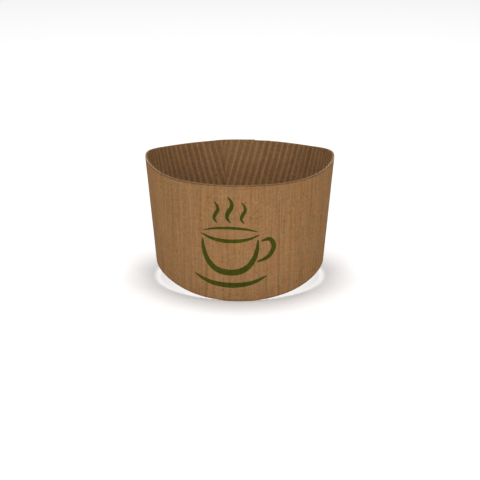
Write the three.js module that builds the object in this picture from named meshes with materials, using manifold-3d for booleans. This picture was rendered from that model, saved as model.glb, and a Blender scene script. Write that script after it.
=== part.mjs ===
// Kraft cup sleeve: one die-cut blank of single-face corrugated board,
// wrapped into a cone and glued to itself in a lap seam at the back.
//
// Units are millimetres, +Z up. The origin is on the cone's axis, level with
// the lowest points of the bottom edge. The front of the sleeve faces -Y and
// the glued seam is at the back, at +Y.
//
// The blank is laid out flat first. There, X runs across the sheet, Y along
// its centre line, and n through the board, from 0 on the smooth outer liner
// to BOARD on the crests of the fluted medium inside. The flutes are parallel
// to the centre line, as in a corrugated web, so they run off the blank's two
// slanted ends. The flat sheet is then rolled into the cone without stretch.

import * as THREE from 'three';
import { mergeVertices } from 'three/addons/utils/BufferGeometryUtils.js';
import Module from 'manifold-3d';

// ---- driving dimensions ---------------------------------------------------

const TAPER = 0.08658;        // radius gained for each mm of height
const APEX_DEPTH = 412.8;     // the cone's apex lies this far below the origin
const HEIGHT_FRONT = 50.8;    // height of the sleeve at the front and the back
const TOP_RISE = 3.2;         // how much higher the top edge stands at the sides
const BOTTOM_RISE_2 = 4.6;    // how much the bottom edge lifts at the sides,
const BOTTOM_RISE_4 = 2.6;    //   as two terms of its curve
const LAND_START = 8;         // degrees: the bottom edge is flat up to here,
const LAND_END = 14;          //   and follows its full curve from here on

const BOARD = 1.05;           // liner and flutes together
const LINER = 0.28;           // smooth outer liner
const PITCH = 2.9;            // from one flute to the next
const TUNNEL_WIDE = 0.95;     // half width of a flute's tunnel at the liner
const TUNNEL_NARROW = 0.30;   // and at its crest
const TUNNEL_DEPTH = 0.55;
const CREST_HALF = 0.45;      // inner face: half width of a crest,
const ROOT_START = 1.15;      //   where the flute's flank ends, from its middle,
const ROOT_DEPTH = 0.50;      //   and the board's thickness between two flutes

const LAP_HALF = 7;           // the two ends overlap by twice this
const LAP_RAMP = 6;           // length over which an end bends into the lap
const CRUSH = 0.62;           // the flutes are pressed to this in the lap
const GLUE_GAP = 0.12;        // glue line between the two ends
const GLUE_BITE = 0.14;       // how far the strip soaks into both ends
const GLUE_HALF = 3;          // half width of the glue strip
const GLUE_MARGIN = 6;        // it stays this far from the top and bottom edge
const CORNER = 0.6;           // blunted upper corner of each end
const STEPS = 3;              // bends along each flute

// ---- the cone and the blank's outline --------------------------------------

const ALPHA = Math.atan(TAPER);
const SIN = Math.sin(ALPHA);
const COS = Math.cos(ALPHA);
const DEG = Math.PI / 180;

const smooth = (a, b, v) => {
  const k = Math.min(1, Math.max(0, (v - a) / (b - a)));
  return k * k * (3 - 2 * k);
};

const radiusAt = (z) => TAPER * (z + APEX_DEPTH);

// Height of the two cut edges at an azimuth, measured from the front. The
// sleeve is symmetric front to back, because it is made to fold flat.
const bottomAt = (az) => {
  const s = Math.abs(Math.sin(az));
  const fromLand = Math.asin(Math.min(1, s)) / DEG;
  return (BOTTOM_RISE_2 * s ** 2 + BOTTOM_RISE_4 * s ** 4) * smooth(LAND_START, LAND_END, fromLand);
};
const topAt = (az) => HEIGHT_FRONT + TOP_RISE * Math.abs(Math.sin(az)) ** 6;

// Distance from the cone's apex, along the sheet, of a point at height z.
const slant = (z) => (z + APEX_DEPTH) / COS;

const MID_RADIUS = radiusAt(HEIGHT_FRONT / 2);
const AZ_END = Math.PI + LAP_HALF / MID_RADIUS;
const THETA_END = AZ_END * SIN;
const X_END_BOTTOM = slant(bottomAt(AZ_END)) * Math.sin(THETA_END);
const X_END_TOP = slant(topAt(AZ_END)) * Math.sin(THETA_END);
const X_LAST = X_END_TOP - CORNER;

// The flat sheet's Y where the line of constant X meets an edge curve.
function meet(edge, x) {
  let low = 0;
  let high = THETA_END + 0.02;
  for (let i = 0; i < 60; i += 1) {
    const theta = (low + high) / 2;
    if (slant(edge(theta / SIN)) * Math.sin(theta) < x) low = theta;
    else high = theta;
  }
  return slant(edge(low / SIN)) * Math.cos(low);
}

const lowerY = (x) => (x > X_END_BOTTOM ? x / Math.tan(THETA_END) : meet(bottomAt, x));
const upperY = (x) => meet(topAt, x);

// ---- from the flat sheet to the cone ----------------------------------------

// The end on the +X side goes underneath in the lap: its crests stay where
// the inside of the sleeve is, and its liner sinks. The other end rides up
// over it, and its liner stands a little proud.
const SINK = -BOARD * (1 - CRUSH);
const RIDE = SINK + GLUE_GAP + BOARD * CRUSH;

function roll(x, y, n) {
  const theta = Math.atan2(x, y);
  const rho = Math.hypot(x, y);
  const az = theta / SIN;
  const z = rho * COS - APEX_DEPTH;
  const r = radiusAt(z);
  const pastSeam = (Math.abs(az) - Math.PI) * r;
  const w = smooth(-LAP_HALF - LAP_RAMP, -LAP_HALF - 1, pastSeam);
  const shift = w * (az > 0 ? SINK : RIDE);
  const radius = r + shift - n * (1 - w * (1 - CRUSH));
  return [radius * Math.sin(az), -radius * Math.cos(az), z];
}

// ---- section across the flutes ----------------------------------------------

const flutes = [];
for (let k = -60; k <= 60; k += 1) {
  const x = Math.abs(k * PITCH) + TUNNEL_WIDE;
  if (x < X_LAST - 0.3 && upperY(x) - lowerY(x) > 3) flutes.push(k);
}

// The section is drawn on an open arc, nearly as tight as the cone, so that its
// faces at the top and bottom edge stay inside the board when it is rolled.
const ARC = 45;
const arc = (x, n) => [(ARC - n) * Math.sin(x / ARC), -(ARC - n) * Math.cos(x / ARC)];
const fromArc = (u, v) => [ARC * Math.atan2(u, -v), ARC - Math.hypot(u, v)];

const section = new THREE.Shape();
const across = flutes.map((k) => k * PITCH);
across.push(-X_END_BOTTOM, X_END_BOTTOM, -X_LAST, X_LAST);
across.sort((a, b) => a - b);
const outer = across.filter((x, i) => i === 0 || i === across.length - 1
  || Math.abs(x - across[i - 1]) > 0.4 || Math.abs(x) === X_END_BOTTOM);
section.moveTo(...arc(outer[0], 0));
for (const x of outer.slice(1)) section.lineTo(...arc(x, 0));
section.lineTo(...arc(X_LAST, ROOT_DEPTH));
for (const k of [...flutes].reverse()) {
  const c = k * PITCH;
  section.lineTo(...arc(c + ROOT_START, ROOT_DEPTH));
  section.lineTo(...arc(c + CREST_HALF, BOARD));
  section.lineTo(...arc(c - CREST_HALF, BOARD));
  section.lineTo(...arc(c - ROOT_START, ROOT_DEPTH));
}
section.lineTo(...arc(-X_LAST, ROOT_DEPTH));
section.closePath();

for (const k of flutes) {
  const c = k * PITCH;
  const tunnel = new THREE.Path();
  tunnel.moveTo(...arc(c - TUNNEL_WIDE, LINER));
  tunnel.lineTo(...arc(c - TUNNEL_NARROW, LINER + TUNNEL_DEPTH));
  tunnel.lineTo(...arc(c + TUNNEL_NARROW, LINER + TUNNEL_DEPTH));
  tunnel.lineTo(...arc(c + TUNNEL_WIDE, LINER));
  tunnel.closePath();
  section.holes.push(tunnel);
}

// ---- the rolled board ---------------------------------------------------------

const board = new THREE.ExtrudeGeometry(section, { depth: 1, steps: STEPS, bevelEnabled: false });
const place = board.attributes.position;
const edges = new Map();
for (let i = 0; i < place.count; i += 1) {
  const [x, n] = fromArc(place.getX(i), place.getY(i));
  const key = Math.abs(x).toFixed(4);
  if (!edges.has(key)) edges.set(key, [lowerY(Math.abs(x)), upperY(Math.abs(x))]);
  const [low, high] = edges.get(key);
  const y = low + (high - low) * place.getZ(i);
  const [px, py, pz] = roll(x, y, n);
  place.setXYZ(i, px, py, Math.abs(pz) < 1e-4 ? 0 : pz);
}

// ---- the glue strip inside the lap ----------------------------------------------

const glue = new THREE.BoxGeometry(1, 1, 1, 6, 1, 4);
const spot = glue.attributes.position;
for (let i = 0; i < spot.count; i += 1) {
  const z = GLUE_MARGIN + (HEIGHT_FRONT - 2 * GLUE_MARGIN) * (spot.getZ(i) + 0.5);
  const r = radiusAt(z);
  const az = Math.PI + (spot.getX(i) * 2 * GLUE_HALF) / r;
  const radius = r + SINK + (spot.getY(i) > 0 ? -GLUE_BITE : GLUE_GAP + GLUE_BITE);
  spot.setXYZ(i, radius * Math.sin(az), -radius * Math.cos(az), z);
}

const wasm = await Module();
wasm.setup();

function solid(geometry) {
  geometry.deleteAttribute('normal');
  geometry.deleteAttribute('uv');
  const merged = mergeVertices(geometry, 1e-4);
  return new wasm.Manifold(new wasm.Mesh({
    numProp: 3,
    vertProperties: new Float32Array(merged.attributes.position.array),
    triVerts: new Uint32Array(merged.index.array),
  }));
}

const joined = solid(board).add(solid(glue)).getMesh();
const shell = new THREE.BufferGeometry();
shell.setAttribute('position', new THREE.BufferAttribute(new Float32Array(joined.vertProperties), 3));
shell.setIndex(new THREE.BufferAttribute(new Uint32Array(joined.triVerts), 1));
shell.computeVertexNormals();

// ---- scene graph ------------------------------------------------------------------

const kraft = new THREE.MeshStandardMaterial({ color: 0x916d49, roughness: 0.92, metalness: 0 });

const cupSleeve = new THREE.Group();
const sleeve = new THREE.Mesh(shell, kraft);
sleeve.name = 'sleeve';
cupSleeve.add(sleeve);

export default cupSleeve;
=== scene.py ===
"""Kraft cup sleeve: the smooth liner with its print, the fluted paper inside it, and their cut edges.

Everything is drawn on the flat blank first, in millimetres (x across, y along the centre line, n through the board),
and rolled into the cone with the same map as the CAD model, so both lie in one frame."""

import math

import bpy
import numpy as np
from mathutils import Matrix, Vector, geometry


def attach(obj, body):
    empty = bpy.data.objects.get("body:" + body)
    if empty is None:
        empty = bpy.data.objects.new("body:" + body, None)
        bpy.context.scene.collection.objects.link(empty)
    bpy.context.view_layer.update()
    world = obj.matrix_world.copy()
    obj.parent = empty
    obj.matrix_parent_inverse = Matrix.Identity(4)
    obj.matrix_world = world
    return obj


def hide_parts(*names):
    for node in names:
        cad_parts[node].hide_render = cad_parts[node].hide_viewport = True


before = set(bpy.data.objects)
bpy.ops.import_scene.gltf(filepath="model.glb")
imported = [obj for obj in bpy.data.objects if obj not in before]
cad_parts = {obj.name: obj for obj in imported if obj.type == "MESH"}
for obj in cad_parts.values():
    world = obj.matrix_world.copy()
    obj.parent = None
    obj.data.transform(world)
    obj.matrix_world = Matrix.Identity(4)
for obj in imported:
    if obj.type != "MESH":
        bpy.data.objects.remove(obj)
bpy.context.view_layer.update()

# ---- sizes shared with the CAD model (mm) ------------------------------------------------------

TAPER, APEX_DEPTH, HEIGHT_FRONT = 0.08658, 412.8, 50.8
TOP_RISE, BOTTOM_RISE_2, BOTTOM_RISE_4 = 3.2, 4.6, 2.6
LAND_START, LAND_END = 8.0, 14.0
BOARD, LINER, PITCH = 1.05, 0.26, 2.9
MEDIUM = 0.2
LAP_HALF, LAP_RAMP, CRUSH, GLUE_GAP = 7.0, 6.0, 0.62, 0.03
CORNER = 0.6

ALPHA = math.atan(TAPER)
SIN, COS = math.sin(ALPHA), math.cos(ALPHA)


def smooth(a, b, v):
    k = np.clip((np.asarray(v, float) - a) / (b - a), 0, 1)
    return k * k * (3 - 2 * k)


def bottom_at(az):
    s = np.abs(np.sin(az))
    land = smooth(LAND_START, LAND_END, np.degrees(np.arcsin(np.minimum(1, s))))
    return (BOTTOM_RISE_2 * s**2 + BOTTOM_RISE_4 * s**4) * land


def top_at(az):
    return HEIGHT_FRONT + TOP_RISE * np.abs(np.sin(az)) ** 6


def slant(z):
    return (z + APEX_DEPTH) / COS


MID_RADIUS = TAPER * (HEIGHT_FRONT / 2 + APEX_DEPTH)
AZ_END = math.pi + LAP_HALF / MID_RADIUS
THETA_END = AZ_END * SIN
X_END_BOTTOM = float(slant(bottom_at(AZ_END))) * math.sin(THETA_END)
X_LAST = float(slant(top_at(AZ_END))) * math.sin(THETA_END) - CORNER


def meet(edge, x):
    low, high = np.zeros_like(x), np.full_like(x, THETA_END + 0.02)
    for _ in range(50):
        t = (low + high) / 2
        under = slant(edge(t / SIN)) * np.sin(t) < x
        low, high = np.where(under, t, low), np.where(under, high, t)
    return slant(edge(low / SIN)) * np.cos(low)


def lower_y(x):
    x = np.abs(np.asarray(x, float))
    return np.where(x > X_END_BOTTOM, x / math.tan(THETA_END), meet(bottom_at, x))


def upper_y(x):
    return meet(top_at, np.abs(np.asarray(x, float)))


SINK = -BOARD * (1 - CRUSH)
RIDE = SINK + GLUE_GAP + BOARD * CRUSH


def roll(x, y, n):
    """Flat blank to the cone, in metres."""
    theta, rho = np.arctan2(x, y), np.hypot(x, y)
    az = theta / SIN
    z = rho * COS - APEX_DEPTH
    r = TAPER * (z + APEX_DEPTH)
    past = (np.abs(az) - math.pi) * r
    w = smooth(-LAP_HALF - LAP_RAMP, -LAP_HALF - 1, past)
    radius = r + w * np.where(az > 0, SINK, RIDE) - n * (1 - w * (1 - CRUSH))
    return np.stack([radius * np.sin(az), -radius * np.cos(az), z], -1) / 1000


# ---- small irregularities, all seeded ------------------------------------------------------------


def curve_noise(length, step, seed):
    """A smooth random function of one coordinate, about -1 to 1, with features of this step."""
    values = np.random.default_rng(seed).uniform(-1, 1, int(length / step) + 8)

    def at(x):
        t = (np.asarray(x, float) + length / 2) / step + 2
        i = np.clip(np.floor(t).astype(int), 1, len(values) - 3)
        f = np.clip(t - i, 0, 1)
        a, b, c, d = (values[i + k] for k in (-1, 0, 1, 2))
        return b + 0.5 * f * (c - a + f * (2 * a - 5 * b + 4 * c - d + f * (3 * (b - c) + d - a)))

    return at


def field_noise(step_x, step_y, seed):
    """The same for two coordinates of the flat blank."""
    g = np.random.default_rng(seed).uniform(-1, 1, (int(300 / step_x) + 4, int(90 / step_y) + 4))

    def at(x, y):
        u = np.clip((np.asarray(x, float) + 145) / step_x, 0, g.shape[0] - 2.001)
        v = np.clip((np.asarray(y, float) - 388) / step_y, 0, g.shape[1] - 2.001)
        i, j = np.floor(u).astype(int), np.floor(v).astype(int)
        f, h = u - i, v - j
        f, h = f * f * (3 - 2 * f), h * h * (3 - 2 * h)
        return (
            g[i, j] * (1 - f) * (1 - h)
            + g[i + 1, j] * f * (1 - h)
            + g[i, j + 1] * (1 - f) * h
            + g[i + 1, j + 1] * f * h
        )

    return at


wander = field_noise(26, 22, 1)  # the whole board bows by a few hundredths of a millimetre
ripple_size = curve_noise(290, PITCH, 2)  # how strongly each flute shows through the liner
ripple_lean = curve_noise(290, 2 * PITCH, 3)
dents = field_noise(3.5, 14, 4)
top_cut, bottom_cut = curve_noise(290, 0.7, 5), curve_noise(290, 0.7, 6)
top_drift, bottom_drift = curve_noise(290, 9, 7), curve_noise(290, 9, 8)
flute_height, flute_lean = curve_noise(290, PITCH, 9), field_noise(PITCH, 16, 10)


def edge_y(x):
    """The two cut edges with the slight roughness that a cutting rule leaves."""
    low = lower_y(x)
    high = upper_y(x)
    free = smooth(X_END_BOTTOM - 1, X_END_BOTTOM - 6, np.abs(x))
    low = low + free * (0.025 * bottom_cut(x) + 0.05 * (bottom_drift(x) + 1))
    high = high + smooth(X_LAST, X_LAST - 5, np.abs(x)) * (0.025 * top_cut(x) + 0.05 * (top_drift(x) - 1))
    return low, high


def board_bow(x, y):
    return 0.05 * wander(x, y) * smooth(110, 94, np.abs(x))  # the glued ends lie flat on each other


def liner_out(x, y):
    """Depth of the liner's outer face: each flute shows through as a faint ripple."""
    phase = 2 * math.pi * (x / PITCH + 0.06 * ripple_lean(x))
    depth = 0.011 + 0.006 * ripple_size(x)
    return 0.02 + board_bow(x, y) + depth * (1 + np.cos(phase)) + 0.006 * (1 + dents(x, y))


# ---- mesh helpers ----------------------------------------------------------------------------------


class Parts:
    """Collects points and faces of one mesh, with the flat coordinates, material slot and bake map of each face corner."""

    def __init__(self):
        self.flat, self.faces, self.slots, self.maps = [], [], [], []
        self.count = 0

    def points(self, x, y, n, low, high):
        x, y, n, low, high = (np.asarray(a, float).ravel() for a in np.broadcast_arrays(x, y, n, low, high))
        self.flat.append(np.stack([x, y, n, low, high], -1))
        first = self.count
        self.count += len(x)
        return first + np.arange(len(x))

    def quads(self, a, b, c, d, slot, uv):
        """uv maps an array of flat coordinates to places on the bake map."""
        self.faces.append(np.stack([a.ravel(), b.ravel(), c.ravel(), d.ravel()], -1))
        self.slots.append(np.full(a.size, slot))
        self.maps.append(uv)

    def grid(self, index, slot, uv, flip=False):
        a, b, c, d = index[:-1, :-1], index[1:, :-1], index[1:, 1:], index[:-1, 1:]
        if flip:
            b, d = d, b
        self.quads(a, b, c, d, slot, uv)

    def tris(self, t, slots, uv):
        self.faces.append(t)
        self.slots.append(slots)
        self.maps.append(uv)

    def build(self, name, materials):
        flat = np.concatenate(self.flat)
        co = roll(flat[:, 0], flat[:, 1], flat[:, 2])
        mesh = bpy.data.meshes.new(name)
        sizes = np.concatenate([np.full(len(f), f.shape[1]) for f in self.faces])
        corners = np.concatenate([f.ravel() for f in self.faces])
        starts = np.concatenate([[0], np.cumsum(sizes)[:-1]])
        mesh.vertices.add(len(co))
        mesh.vertices.foreach_set("co", co.astype(np.float32).ravel())
        mesh.loops.add(len(corners))
        mesh.loops.foreach_set("vertex_index", corners.astype(np.int32))
        mesh.polygons.add(len(sizes))
        mesh.polygons.foreach_set("loop_start", starts.astype(np.int32))
        mesh.polygons.foreach_set("material_index", np.concatenate(self.slots).astype(np.int32))
        mesh.update(calc_edges=True)
        mesh.validate()
        for m in materials:
            mesh.materials.append(m)
        sheet = mesh.attributes.new("sheet", "FLOAT_VECTOR", "POINT")
        sheet.data.foreach_set("vector", flat[:, :3].astype(np.float32).ravel())
        rims = mesh.attributes.new("rims", "FLOAT_VECTOR", "POINT")
        rim = np.stack([flat[:, 3], flat[:, 4], np.zeros(len(flat))], -1)
        rims.data.foreach_set("vector", rim.astype(np.float32).ravel())
        uv = mesh.uv_layers.new(name="OFBake")
        place = np.concatenate([m(flat[f.ravel()]) for f, m in zip(self.faces, self.maps)])
        uv.uv.foreach_set("vector", place.astype(np.float32).ravel())
        mesh.polygons.foreach_set("use_smooth", np.ones(len(sizes), bool))
        mesh.set_sharp_from_angle(angle=math.radians(50))
        o = bpy.data.objects.new(name, mesh)
        bpy.context.scene.collection.objects.link(o)
        return o


def strip_map(x_low, x_high, u_low, u_high, v_low, v_high):
    """A part of the blank, laid on this rectangle of the bake map."""

    def uv(f):
        u = u_low + (f[:, 0] - x_low) / (x_high - x_low) * (u_high - u_low)
        v = v_low + f[:, 3] / np.maximum(f[:, 3] + f[:, 4], 1e-6) * (v_high - v_low)
        return np.stack([u, v], -1)

    return uv


def edge_map(x_low, x_high, u_low, u_high, v_low, v_high):
    def uv(f):
        u = u_low + (f[:, 0] - x_low) / (x_high - x_low) * (u_high - u_low)
        v = v_low + np.clip(f[:, 2] / BOARD, 0, 1) * (v_high - v_low)
        return np.stack([u, v], -1)

    return uv


def end_map(v_low, v_high, u_low, u_high):
    def uv(f):
        share = f[:, 3] / np.maximum(f[:, 3] + f[:, 4], 1e-6)
        u = u_low + share * (u_high - u_low)
        v = v_low + np.clip(f[:, 2] / BOARD, 0, 1) * (v_high - v_low)
        return np.stack([u, v], -1)

    return uv


# ---- print: a steaming drink on a saucer, in brush-like strokes ----------------------------------------


def spline(points, count):
    p = np.array(points, float)
    p = np.vstack([2 * p[0] - p[1], p, 2 * p[-1] - p[-2]])
    out = []
    for i in range(1, len(p) - 2):
        t = np.linspace(0, 1, count, endpoint=False)[:, None]
        a, b, c, d = p[i - 1], p[i], p[i + 1], p[i + 2]
        out.append(b + 0.5 * t * (c - a + t * (2 * a - 5 * b + 4 * c - d + t * (3 * (b - c) + d - a))))
    out.append(p[-2][None])
    return np.vstack(out)


def stroke(points, width, power=0.55, peak=0.5, least=0.12, seed=0):
    """A closed outline round a curve, widest at peak and tapering to both ends."""
    c = spline(points, 16)
    along = np.concatenate([[0], np.cumsum(np.linalg.norm(np.diff(c, axis=0), axis=1))])
    length = along[-1]
    s = np.linspace(0, length, max(12, int(length / 0.32)))
    c = np.stack([np.interp(s, along, c[:, 0]), np.interp(s, along, c[:, 1])], -1)
    t = s / length
    warped = np.where(t < peak, 0.5 * t / peak, 0.5 + 0.5 * (t - peak) / (1 - peak))
    half = width / 2 * (least + (1 - least) * np.sin(np.pi * warped) ** power)
    d = np.gradient(c, axis=0)
    d /= np.linalg.norm(d, axis=1)[:, None]
    side = np.stack([-d[:, 1], d[:, 0]], -1)
    g = np.random.default_rng(100 + seed)
    rough = lambda: 0.018 * g.uniform(-1, 1, len(s))
    left, right = c + side * (half + rough())[:, None], c - side * (half + rough())[:, None]
    return np.vstack([right, left[::-1]])


STROKES = [
    stroke([(-11.6, 3.2), (-11.2, -1.2), (-9.4, -6.2), (-5.6, -10.0), (0, -11.2), (5.6, -10.0), (9.4, -6.2), (11.2, -1.2), (11.6, 3.2)], 2.7, 0.55, 0.5, 0.12, 1),
    stroke([(-12.3, 5.3), (-7, 3.4), (0, 2.7), (7, 3.4), (12.3, 5.3)], 1.7, 0.6, 0.45, 0.1, 2),
    stroke([(-11.6, 6.6), (-6.5, 8.0), (0, 8.5), (6.5, 8.0), (11.6, 6.6)], 1.25, 0.6, 0.55, 0.1, 3),
    stroke([(12.9, 2.6), (16.6, 3.0), (18.4, -0.4), (16.0, -4.6), (11.2, -6.6)], 2.1, 0.6, 0.45, 0.15, 4),
    stroke([(-15.6, -13.2), (-8.5, -16.0), (0, -16.9), (8.5, -16.0), (15.6, -13.2)], 2.3, 0.6, 0.5, 0.08, 5),
    stroke([(-5.2, 10.4), (-6.5, 12.2), (-6.0, 14.2), (-5.0, 16.0), (-5.2, 18.0), (-6.6, 19.8)], 1.55, 0.7, 0.45, 0.08, 6),
    stroke([(0.4, 10.6), (-1.1, 12.8), (-0.7, 15.2), (0.6, 17.4), (0.6, 19.8), (-0.9, 22.2)], 1.85, 0.7, 0.45, 0.08, 7),
    stroke([(6.0, 10.4), (4.7, 12.2), (5.2, 14.2), (6.2, 16.0), (6.0, 18.0), (4.6, 19.8)], 1.55, 0.7, 0.45, 0.08, 8),
]
MARK_X, MARK_Y = -4.1, float(slant(24.0))

# ---- the liner --------------------------------------------------------------------------------------

PER_FLUTE, ROWS = 8, 34
STEP = PITCH / PER_FLUTE
half_columns = int(X_LAST / STEP)
xs = np.arange(-half_columns, half_columns + 1) * STEP
xs[np.argmin(np.abs(xs - X_END_BOTTOM))] = X_END_BOTTOM
xs[np.argmin(np.abs(xs + X_END_BOTTOM))] = -X_END_BOTTOM
xs[0], xs[-1] = -X_LAST, X_LAST
low_y, high_y = edge_y(xs)
share = np.concatenate([[0, 0.006], np.linspace(0, 1, ROWS + 1)[1:-1], [0.994, 1]])
rows = len(share)
X = np.repeat(xs[:, None], rows, 1)
Y = low_y[:, None] + (high_y - low_y)[:, None] * share
LOW, HIGH = Y - low_y[:, None], high_y[:, None] - Y

PATCH = (-21.5, 17.5)
i0, i1 = np.searchsorted(xs, PATCH[0]), np.searchsorted(xs, PATCH[1])
j0, j1 = 2, rows - 3
SCALE_J = 4.2  # so that the patch is cut in nearly true proportions


def to_index(x, y):
    low, high = edge_y(x)
    return np.interp(x, xs, np.arange(len(xs))), np.interp((y - low) / (high - low), share, np.arange(rows)) * SCALE_J


def from_index(u, v):
    x = np.interp(u, np.arange(len(xs)), xs)
    low, high = np.interp(x, xs, low_y), np.interp(x, xs, high_y)
    y = low + (high - low) * np.interp(v / SCALE_J, np.arange(rows), share)
    return x, y, y - low, high - y


ROUND = 0.045  # the pressed cut rounds the liner's edge by this
liner = Parts()
depth = liner_out(X, Y)
depth[:, 0] += ROUND
depth[:, -1] += ROUND
outer = liner.points(X, Y, depth, LOW, HIGH).reshape(X.shape)
back = liner.points(X, Y, LINER + board_bow(X, Y), LOW, HIGH).reshape(X.shape)

third = (2 * X_LAST) / 2.45
cuts = [0, i0, int(np.searchsorted(xs, xs[i0] + third)), len(xs) - 1]
bands = [(0.004, 0.996, 0.690, 0.996), (0.004, 0.996, 0.376, 0.682), (0.004, 0.50, 0.062, 0.368)]
KRAFT, INK, EDGE = 0, 1, 2
for part in range(3):
    a, b = cuts[part], cuts[part + 1]
    to = strip_map(xs[a], xs[b], *bands[part])
    if part != 1:
        liner.grid(outer[a : b + 1], KRAFT, to)
        continue
    liner.grid(outer[i1 : b + 1], KRAFT, to)
    liner.grid(outer[i0 : i1 + 1, : j0 + 1], KRAFT, to)
    liner.grid(outer[i0 : i1 + 1, j1:], KRAFT, to)
    # The patch with the print: the grid's own points, with the outlines cut in
    gi, gj = np.meshgrid(np.arange(i0, i1 + 1), np.arange(j0, j1 + 1), indexing="ij")
    uv_points = [Vector((float(p), float(q) * SCALE_J)) for p, q in zip(gi.ravel(), gj.ravel())]
    own = outer[gi.ravel(), gj.ravel()]
    outlines, edges = [], []
    at = len(uv_points)
    for line in STROKES:
        pu, pv = to_index(MARK_X + line[:, 0], MARK_Y + line[:, 1])
        uv_points += [Vector((float(p), float(q))) for p, q in zip(pu, pv)]
        outlines.append(list(range(at, at + len(line))))
        at += len(line)
    place = {(int(p), int(q)): k for k, (p, q) in enumerate(zip(gi.ravel(), gj.ravel()))}
    ring = (
        [(i, j0) for i in range(i0, i1)]
        + [(i1, j) for j in range(j0, j1)]
        + [(i, j1) for i in range(i1, i0, -1)]
        + [(i0, j) for j in range(j1, j0, -1)]
    )
    ring = [place[p] for p in ring]
    edges = [(ring[k], ring[(k + 1) % len(ring)]) for k in range(len(ring))]
    found, _, tri, from_point, _, from_face = geometry.delaunay_2d_cdt(uv_points, edges, outlines, 0, 1e-6, True)
    index = np.full(len(found), -1)
    for k, source in enumerate(from_point):
        olds = [s for s in source if s < len(own)]
        if olds:
            index[k] = own[olds[0]]
    new = np.where(index < 0)[0]
    px, py, plow, phigh = from_index(np.array([found[k][0] for k in new]), np.array([found[k][1] for k in new]))
    index[new] = liner.points(px, py, liner_out(px, py), plow, phigh)
    tri_index = np.array([[index[k] for k in f] for f in tri])
    p2 = np.array([[found[k][0], found[k][1]] for k in range(len(found))])
    t2 = np.array([list(f) for f in tri])
    turn = np.cross(p2[t2[:, 1]] - p2[t2[:, 0]], p2[t2[:, 2]] - p2[t2[:, 0]])
    keep = np.abs(turn) > 1e-9
    flipped = turn < 0
    tri_index[flipped] = tri_index[flipped][:, ::-1]
    inked = np.array([INK if len(f) else KRAFT for f in from_face])
    liner.tris(tri_index[keep], inked[keep], to)

liner.grid(back, KRAFT, strip_map(-X_LAST, X_LAST, 0.51, 0.996, 0.062, 0.368), flip=True)
liner.quads(outer[:-1, 0], back[:-1, 0], back[1:, 0], outer[1:, 0], EDGE, edge_map(-X_LAST, X_LAST, 0.004, 0.996, 0.004, 0.026))
liner.quads(outer[:-1, -1], outer[1:, -1], back[1:, -1], back[:-1, -1], EDGE, edge_map(-X_LAST, X_LAST, 0.004, 0.996, 0.032, 0.054))
liner.quads(outer[0, :-1], outer[0, 1:], back[0, 1:], back[0, :-1], EDGE, end_map(0.004, 0.03, 0.004, 0.2))
liner.quads(outer[-1, :-1], back[-1, :-1], back[-1, 1:], outer[-1, 1:], EDGE, end_map(0.004, 0.03, 0.3, 0.5))

# ---- the fluted paper ---------------------------------------------------------------------------------

PER_WAVE, WAVE_ROWS = 14, 22
wx = np.arange(-int(X_LAST / (PITCH / PER_WAVE)), int(X_LAST / (PITCH / PER_WAVE)) + 1) * PITCH / PER_WAVE
wx[0], wx[-1] = -X_LAST, X_LAST
w_low, w_high = edge_y(wx)
w_share = np.concatenate([[0, 0.008, 0.022], np.linspace(0, 1, WAVE_ROWS + 1)[1:-1], [0.978, 0.992, 1]])
WX = np.repeat(wx[:, None], len(w_share), 1)
# The fluted paper is cut with the liner, but springs back a little from the edge
w_inset = 0.05 + 0.035 * curve_noise(290, 1.1, 21)(wx)
w_inset = np.minimum(w_inset, (w_high - w_low) * 0.05)
WY = (w_low + w_inset)[:, None] + (w_high - w_low - 2 * w_inset)[:, None] * w_share
W_LOW, W_HIGH = WY - w_low[:, None], w_high[:, None] - WY

near = np.minimum(W_LOW, W_HIGH)
pressed = 1 - 0.16 * np.exp(-near / 0.5) * (1 + 0.6 * flute_height(WX + 40))  # the cut squeezes the flutes' mouths
mid = (LINER + MEDIUM / 2 + BOARD - MEDIUM / 2) / 2
reach = (BOARD - MEDIUM - LINER) / 2
size = reach * (1 - 0.05 - 0.05 * flute_height(WX))
lean = 0.11 * flute_lean(WX, WY)
wave = 2 * math.pi * (WX / PITCH + lean / PITCH)
shape = np.cos(wave) * (1.18 - 0.18 * np.cos(wave) ** 2)
slope = -np.sin(wave) * (1.18 - 0.54 * np.cos(wave) ** 2) * 2 * math.pi / PITCH
root = mid - reach
centre = root + (size * (1 + shape)) * pressed
tilt = np.arctan(size * slope * pressed)
bow = board_bow(WX, WY)
hx, hn = MEDIUM / 2 * np.sin(tilt), MEDIUM / 2 * np.cos(tilt)
medium = Parts()
near_liner = medium.points(np.clip(WX + hx, -X_LAST, X_LAST), WY, centre - hn + bow, W_LOW, W_HIGH).reshape(WX.shape)
inside = medium.points(np.clip(WX - hx, -X_LAST, X_LAST), WY, centre + hn + bow, W_LOW, W_HIGH).reshape(WX.shape)
FLUTED, RAW = 0, 1
m_cuts = [0, len(wx) // 3, 2 * len(wx) // 3, len(wx) - 1]
m_bands = [(0.004, 0.996, 0.740, 0.996), (0.004, 0.996, 0.476, 0.732), (0.004, 0.996, 0.212, 0.468)]
for part in range(3):
    a, b = m_cuts[part], m_cuts[part + 1]
    medium.grid(inside[a : b + 1], FLUTED, strip_map(wx[a], wx[b], *m_bands[part]), flip=True)
medium.grid(near_liner, FLUTED, strip_map(-X_LAST, X_LAST, 0.004, 0.996, 0.07, 0.2))
medium.quads(near_liner[:-1, 0], inside[:-1, 0], inside[1:, 0], near_liner[1:, 0], RAW, edge_map(-X_LAST, X_LAST, 0.004, 0.996, 0.004, 0.026))
medium.quads(near_liner[:-1, -1], near_liner[1:, -1], inside[1:, -1], inside[:-1, -1], RAW, edge_map(-X_LAST, X_LAST, 0.004, 0.996, 0.032, 0.054))
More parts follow.
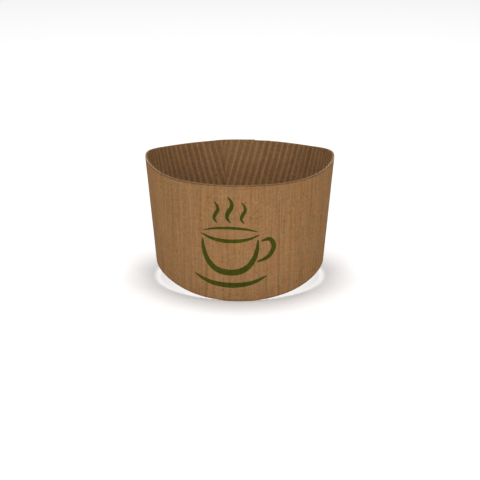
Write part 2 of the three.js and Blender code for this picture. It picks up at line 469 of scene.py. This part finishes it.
medium.quads(near_liner[0, :-1], near_liner[0, 1:], inside[0, 1:], inside[0, :-1], RAW, end_map(0.058, 0.064, 0.004, 0.4))
medium.quads(near_liner[-1, :-1], inside[-1, :-1], inside[-1, 1:], near_liner[-1, 1:], RAW, end_map(0.058, 0.064, 0.5, 0.9))

# ---- materials ----------------------------------------------------------------------------------------------


class Nodes:
    """Short names for building a material's node tree."""

    def __init__(self, name):
        self.mat = bpy.data.materials.new(name)
        self.mat.use_nodes = True
        self.tree = self.mat.node_tree
        self.tree.nodes.clear()
        self.out = self.add("ShaderNodeOutputMaterial")
        self.shader = self.add("ShaderNodeBsdfPrincipled")
        self.link(self.shader.outputs[0], self.out.inputs[0])

    def add(self, kind, **values):
        n = self.tree.nodes.new(kind)
        for k, v in values.items():
            setattr(n, k, v)
        return n

    def link(self, a, b):
        self.tree.links.new(a, b)

    def put(self, socket, value):
        if isinstance(value, bpy.types.NodeSocket):
            self.link(value, socket)
        else:
            socket.default_value = value

    def attribute(self, name):
        return self.add("ShaderNodeAttribute", attribute_type="GEOMETRY", attribute_name=name).outputs["Vector"]

    def split(self, vector):
        n = self.add("ShaderNodeSeparateXYZ")
        self.put(n.inputs[0], vector)
        return n.outputs

    def join(self, x, y, z=0.0):
        n = self.add("ShaderNodeCombineXYZ")
        for s, v in zip(n.inputs, (x, y, z)):
            self.put(s, v)
        return n.outputs[0]

    def math(self, operation, a, b=0.0, c=0.0, clamp=False):
        n = self.add("ShaderNodeMath", operation=operation, use_clamp=clamp)
        for s, v in zip(n.inputs, (a, b, c)):
            self.put(s, v)
        return n.outputs[0]

    def noise(self, vector, scale=1.0, detail=2.0, roughness=0.5, distortion=0.0):
        n = self.add("ShaderNodeTexNoise", noise_dimensions="3D", normalize=True)
        for k, v in (("Vector", vector), ("Scale", scale), ("Detail", detail), ("Roughness", roughness), ("Distortion", distortion)):
            self.put(n.inputs[k], v)
        return n.outputs[0]

    def cells(self, vector, scale, jitter=1.0):
        n = self.add("ShaderNodeTexVoronoi", voronoi_dimensions="2D", feature="F1")
        for k, v in (("Vector", vector), ("Scale", scale), ("Randomness", jitter)):
            self.put(n.inputs[k], v)
        return n.outputs["Distance"], n.outputs["Color"]

    def ramp(self, value, a, b, low=0.0, high=1.0):
        n = self.add("ShaderNodeMapRange", interpolation_type="SMOOTHSTEP", clamp=True)
        for s, v in zip(n.inputs, (value, a, b, low, high)):
            self.put(s, v)
        return n.outputs[0]

    def mix(self, factor, a, b, blend="MIX"):
        n = self.add("ShaderNodeMix", data_type="RGBA", blend_type=blend, clamp_factor=True)
        self.put(n.inputs[0], factor)
        self.put(n.inputs[6], a)
        self.put(n.inputs[7], b)
        return n.outputs[2]

    def gain(self, colour, amount):
        """Colour times a number."""
        n = self.add("ShaderNodeVectorMath", operation="SCALE")
        self.put(n.inputs[0], colour[:3] if isinstance(colour, tuple) else colour)
        self.put(n.inputs["Scale"], amount)
        return n.outputs[0]


def linear(r, g, b):
    f = lambda c: c / 12.92 if c <= 0.04045 else ((c + 0.055) / 1.055) ** 2.4
    return (f(r / 255), f(g / 255), f(b / 255), 1.0)


def kraft_pattern(k, grain=1.0, streaks=1.0):
    """Brightness, about 1, of unbleached kraft: soft clouds, streaks along the flutes, fibres and specks. Also a height for bump."""
    sheet = k.attribute("sheet")
    x, y, n = k.split(sheet)
    flat = k.join(x, y, 0.0)
    clouds = k.noise(k.join(k.math("MULTIPLY", x, 0.16), k.math("MULTIPLY", y, 0.11), 3.1), 1.0, 3.0, 0.55)
    broad = k.noise(k.join(k.math("MULTIPLY", x, 0.34), k.math("MULTIPLY", y, 0.012), 7.7), 1.0, 2.0, 0.5)
    streak = k.noise(k.join(k.math("MULTIPLY", x, 0.95), k.math("MULTIPLY", y, 0.028), 1.3), 1.0, 4.0, 0.62)
    fine = k.noise(k.join(k.math("MULTIPLY", x, 3.4), k.math("MULTIPLY", y, 0.16), 5.9), 1.0, 3.0, 0.6)
    cross = k.noise(k.join(k.math("MULTIPLY", x, 0.22), k.math("MULTIPLY", y, 0.9), 15.2), 1.0, 3.0, 0.6)
    wobble = k.math("MULTIPLY", k.math("SUBTRACT", k.noise(k.join(k.math("MULTIPLY", x, 0.3), k.math("MULTIPLY", y, 0.05), 2.2), 1.0, 1.0), 0.5), 2.4)
    phase = k.math("MULTIPLY", k.math("ADD", x, wobble), 2 * math.pi / PITCH)
    bond = k.math("MULTIPLY", k.math("SUBTRACT", 1.0, k.math("COSINE", phase)), 0.5)
    bond = k.math("MULTIPLY", k.math("POWER", bond, 3.0), k.ramp(k.noise(k.join(k.math("MULTIPLY", x, 0.21), k.math("MULTIPLY", y, 0.03), 9.0), 1.0, 2.0), 0.35, 0.7))
    pulp = k.noise(flat, 1.05, 6.0, 0.66, 0.5)
    tooth = k.noise(flat, 9.0, 3.0, 0.6)
    # Fibres: thin level lines of a stretched noise, broken up by a mask
    bent = k.noise(k.join(k.math("MULTIPLY", x, 0.55), k.math("MULTIPLY", y, 1.1), 4.4), 1.0, 2.0, 0.6, 1.2)
    line = k.ramp(k.math("ABSOLUTE", k.math("SUBTRACT", bent, 0.5)), 0.0, 0.012, 1.0, 0.0)
    fibres = k.math("MULTIPLY", line, k.ramp(k.noise(flat, 0.9, 1.0), 0.56, 0.66))
    bent2 = k.noise(k.join(k.math("MULTIPLY", x, 1.3), k.math("MULTIPLY", y, 0.7), 8.8), 1.0, 2.0, 0.6, 1.6)
    line2 = k.ramp(k.math("ABSOLUTE", k.math("SUBTRACT", bent2, 0.5)), 0.0, 0.014, 1.0, 0.0)
    pale = k.math("MULTIPLY", line2, k.ramp(k.noise(flat, 1.1, 1.0, 0.5), 0.42, 0.34))
    # Specks of bark, of ragged outline
    torn_x = k.math("MULTIPLY", k.math("SUBTRACT", k.noise(flat, 2.1, 3.0, 0.6), 0.5), 1.5)
    torn_y = k.math("MULTIPLY", k.math("SUBTRACT", k.noise(k.join(y, x, 21.0), 2.1, 3.0, 0.6), 0.5), 1.5)
    torn = k.join(k.math("ADD", x, torn_x), k.math("ADD", k.math("MULTIPLY", y, 0.72), torn_y), 0.0)
    far, colour = k.cells(torn, 0.42)
    pick = k.split(colour)
    speck = k.math("MULTIPLY", k.ramp(far, 0.06, 0.17, 1.0, 0.0), k.ramp(pick[0], 0.89, 0.92))
    far2, colour2 = k.cells(k.join(k.math("ADD", x, 17.3), y, 0.0), 1.15)
    pick2 = k.split(colour2)
    dots = k.math("MULTIPLY", k.ramp(far2, 0.05, 0.16, 1.0, 0.0), k.ramp(pick2[0], 0.86, 0.9))

    def swing(value, size):
        return k.math("MULTIPLY", k.math("SUBTRACT", value, 0.5), size)

    total = 1.0
    for value, amount in (
        (clouds, 0.26 * grain),
        (broad, 0.20 * streaks),
        (streak, 0.84 * streaks),
        (cross, 0.30 * grain),
        (fine, 0.55 * streaks),
        (pulp, 0.95 * grain),
        (tooth, 0.30 * grain),
    ):
        total = k.math("ADD", total, swing(value, amount))
    total = k.math("SUBTRACT", total, k.math("MULTIPLY", bond, 0.07 * streaks))
    total = k.math("SUBTRACT", total, k.math("MULTIPLY", fibres, 0.26 * grain))
    total = k.math("ADD", total, k.math("MULTIPLY", pale, 0.14 * grain))
    total = k.math("SUBTRACT", total, k.math("MULTIPLY", dots, 0.28 * grain))
    height = k.math("ADD", k.math("MULTIPLY", pulp, 0.6), k.math("ADD", k.math("MULTIPLY", fine, 0.5), k.math("MULTIPLY", tooth, 0.35)))
    return total, height, speck, torn, (x, y, n), clouds, pulp


def near_rim(k, reach):
    low, high, _ = k.split(k.attribute("rims"))
    return k.ramp(k.math("MINIMUM", low, high), 0.0, reach, 1.0, 0.0)


def bump(k, height, distance, strength=1.0):
    b = k.add("ShaderNodeBump")
    b.inputs["Strength"].default_value = strength
    b.inputs["Distance"].default_value = distance
    k.put(b.inputs["Height"], height)
    k.link(b.outputs[0], k.shader.inputs["Normal"])


def finish_shader(k, colour, roughness, specular=0.03):
    k.put(k.shader.inputs["Base Color"], colour)
    k.put(k.shader.inputs["Roughness"], roughness)
    k.shader.inputs["Specular IOR Level"].default_value = specular
    k.shader.inputs["IOR"].default_value = 1.5


KRAFT_LIGHT, KRAFT_WARM = linear(143, 108, 73), linear(137, 101, 64)


def make_kraft():
    k = Nodes("kraft_liner")
    total, height, speck, torn, (x, y, n), clouds, pulp = kraft_pattern(k)
    base = k.mix(k.ramp(clouds, 0.3, 0.7), KRAFT_LIGHT, KRAFT_WARM)
    rust = k.noise(k.join(k.math("MULTIPLY", x, 0.62), k.math("MULTIPLY", y, 0.45), 12.3), 1.0, 4.0, 0.68, 0.6)
    base = k.mix(k.ramp(rust, 0.46, 0.72, 0.0, 0.65), base, linear(147, 98, 61))
    base = k.mix(k.ramp(rust, 0.50, 0.30, 0.0, 0.5), base, linear(134, 110, 70))
    # Two longer dark streaks, where the web was creased on its way through the machine
    for at, y0, y1, size in ((-14.1, 413.0, 437.0, 0.30), (16.6, 413.0, 463.0, 0.24)):
        d = k.math("ABSOLUTE", k.math("SUBTRACT", k.math("ADD", x, k.math("MULTIPLY", k.math("SUBTRACT", k.noise(k.join(0.0, k.math("MULTIPLY", y, 0.12), at), 1.0, 2.0), 0.5), 1.6)), at))
        mark = k.math("MULTIPLY", k.ramp(d, 0.05, 0.6, 1.0, 0.0), k.math("MULTIPLY", k.ramp(y, y0, y0 + 6), k.ramp(y, y1 - 8, y1, 1.0, 0.0)))
        total = k.math("SUBTRACT", total, k.math("MULTIPLY", mark, size))
    # Both edges are darker along the cut; the upper one is darker still as painted shadow, with a faint second line of
    # painted shadow below it at the front
    low, high, _ = k.split(k.attribute("rims"))
    total = k.math("SUBTRACT", total, k.math("MULTIPLY", k.ramp(high, 0.22, 0.85, 1.0, 0.0), 0.46))
    total = k.math("SUBTRACT", total, k.math("MULTIPLY", k.ramp(low, 0.15, 0.65, 1.0, 0.0), 0.36))
    # Painted shadow: a faint dark line about 1.45 mm below the upper cut, only at the front
    line = k.ramp(k.math("ABSOLUTE", k.math("SUBTRACT", high, 1.45)), 0.08, 0.42, 1.0, 0.0)
    line = k.math("MULTIPLY", line, k.ramp(k.math("ABSOLUTE", x), 7.0, 14.0, 1.0, 0.0))
    total = k.math("SUBTRACT", total, k.math("MULTIPLY", line, 0.13))
    colour = k.gain(base, total)
    # Rusty flecks of bark, a little drawn out along the sheet
    far, tint = k.cells(torn, 0.19)
    fleck = k.math("MULTIPLY", k.ramp(far, 0.03, 0.10, 1.0, 0.0), k.ramp(k.split(tint)[1], 0.84, 0.87))
    colour = k.mix(k.math("MULTIPLY", fleck, 0.6), colour, linear(142, 82, 28))
    colour = k.mix(k.math("MULTIPLY", speck, 0.7), colour, linear(92, 58, 30))
    finish_shader(k, colour, k.ramp(pulp, 0.2, 0.8, 0.80, 0.92))
    bump(k, height, 0.00006, 0.55)
    return k.mat


def make_ink():
    k = Nodes("green_ink")
    total, height, speck, torn, (x, y, n), clouds, pulp = kraft_pattern(k, 1.3, 1.1)
    thin = k.ramp(k.noise(k.join(x, y, 6.6), 2.2, 3.0, 0.65), 0.61, 0.75)
    base = k.mix(k.math("MULTIPLY", thin, 0.45), linear(56, 61, 5), linear(100, 84, 36))
    finish_shader(k, k.gain(base, total), k.ramp(pulp, 0.2, 0.8, 0.72, 0.85), 0.10)
    bump(k, height, 0.00005, 0.5)
    return k.mat


def make_edge(name, shade):
    k = Nodes(name)
    x, y, n = k.split(k.attribute("sheet"))
    layers = k.noise(k.join(k.math("MULTIPLY", x, 1.6), k.math("MULTIPLY", y, 1.6), k.math("MULTIPLY", n, 22.0)), 1.0, 3.0, 0.7)
    chips = k.noise(k.join(x, y, k.math("MULTIPLY", n, 3.0)), 3.2, 3.0, 0.7)
    total = k.math("ADD", 0.86, k.math("ADD", k.math("MULTIPLY", layers, 0.2), k.math("MULTIPLY", k.ramp(chips, 0.35, 0.75), 0.1)))
    # Painted shade: the cut edge is darker at the front, 0.66 of its colour, and a little lighter than its own colour
    # at the sides
    painted_front_shade = k.ramp(k.math("ABSOLUTE", x), 34.0, 58.0, 0.66, 1.08)  # duller at the front
    finish_shader(k, k.gain(shade, k.math("MULTIPLY", total, painted_front_shade)), k.ramp(chips, 0.3, 0.7, 0.88, 0.96), 0.08)
    bump(k, k.math("ADD", layers, chips), 0.00008, 0.6)
    return k.mat


def make_medium():
    k = Nodes("fluted_kraft")
    total, height, speck, torn, (x, y, n), clouds, pulp = kraft_pattern(k, 1.25, 0.8)
    # Painted shade and light: the fluted paper is darker in the troughs between flutes and lighter on the crests
    lit_crests = k.ramp(n, 0.72, 1.02)
    base = k.mix(lit_crests, linear(129, 96, 63), linear(146, 112, 78))
    total = k.math("SUBTRACT", total, k.math("MULTIPLY", near_rim(k, 0.6), 0.06))
    colour = k.mix(k.math("MULTIPLY", speck, 0.6), k.gain(base, total), linear(80, 50, 26))
    finish_shader(k, colour, k.ramp(pulp, 0.2, 0.8, 0.86, 0.95), 0.04)
    bump(k, height, 0.00009, 0.7)
    return k.mat


kraft, ink = make_kraft(), make_ink()
pale_edge = make_edge("cut_edge_liner", linear(200, 172, 138))
raw_edge = make_edge("cut_edge_flutes", linear(188, 157, 122))
fluted = make_medium()

liner_piece = liner.build("printed_liner", [kraft, ink, pale_edge])
medium_piece = medium.build("fluted_paper", [fluted, raw_edge])
for piece in (liner_piece, medium_piece):
    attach(piece, "root")
    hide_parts("sleeve")

# ---- floor, light and camera ----------------------------------------------------------------------------------

floor_mesh = bpy.data.meshes.new("floor")
floor_mesh.from_pydata([(-4, -4, 0), (4, -4, 0), (4, 6, 0), (-4, 6, 0)], [], [(0, 1, 2, 3)])
floor = bpy.data.objects.new("floor", floor_mesh)
floor.location = (0, 0, -0.00005)
bpy.context.scene.collection.objects.link(floor)
f = Nodes("pale_floor")
finish_shader(f, (0.96, 0.96, 0.96, 1.0), 0.9, 0.05)
floor_mesh.materials.append(f.mat)

scene = bpy.context.scene
world = bpy.data.worlds.new("studio")
world.use_nodes = True
world.node_tree.nodes["Background"].inputs["Color"].default_value = (1.0, 1.0, 1.0, 1.0)
world.node_tree.nodes["Background"].inputs["Strength"].default_value = 0.19
scene.world = world


def area(name, place, aim, size, power):
    lamp = bpy.data.lights.new(name, "AREA")
    lamp.shape = "RECTANGLE"
    lamp.size, lamp.size_y = size
    lamp.energy = power
    o = bpy.data.objects.new(name, lamp)
    o.location = place
    o.rotation_mode = "QUATERNION"
    o.rotation_quaternion = (Vector(aim) - Vector(place)).to_track_quat("-Z", "Y")
    scene.collection.objects.link(o)
    return o


area("key", (-0.62, -1.20, 0.42), (0, 0, 0.03), (0.5, 0.5), 6.1)
area("fill", (0.62, -1.20, 0.42), (0, 0, 0.03), (0.5, 0.5), 6.1)
area("top", (0.0, 0.2, 2.4), (0, 0.2, 0), (1.5, 1.5), 54)

camera = bpy.data.cameras.new("camera")
camera.sensor_fit = "HORIZONTAL"
camera.sensor_width = 36.0
camera.lens = 1378.73 / 480 * 36.0
camera.shift_x = 0.000323
camera.clip_start, camera.clip_end = 0.01, 20
eye = bpy.data.objects.new("camera", camera)
eye.location = (0.0, -0.57277, 0.196391)
eye.rotation_euler = (math.pi / 2 - 0.3061251974, 0.0, 0.0)
scene.collection.objects.link(eye)
scene.camera = eye

scene.view_settings.view_transform = "Standard"
scene.view_settings.look = "None"
scene.view_settings.exposure = 0.0
scene.view_settings.gamma = 1.0
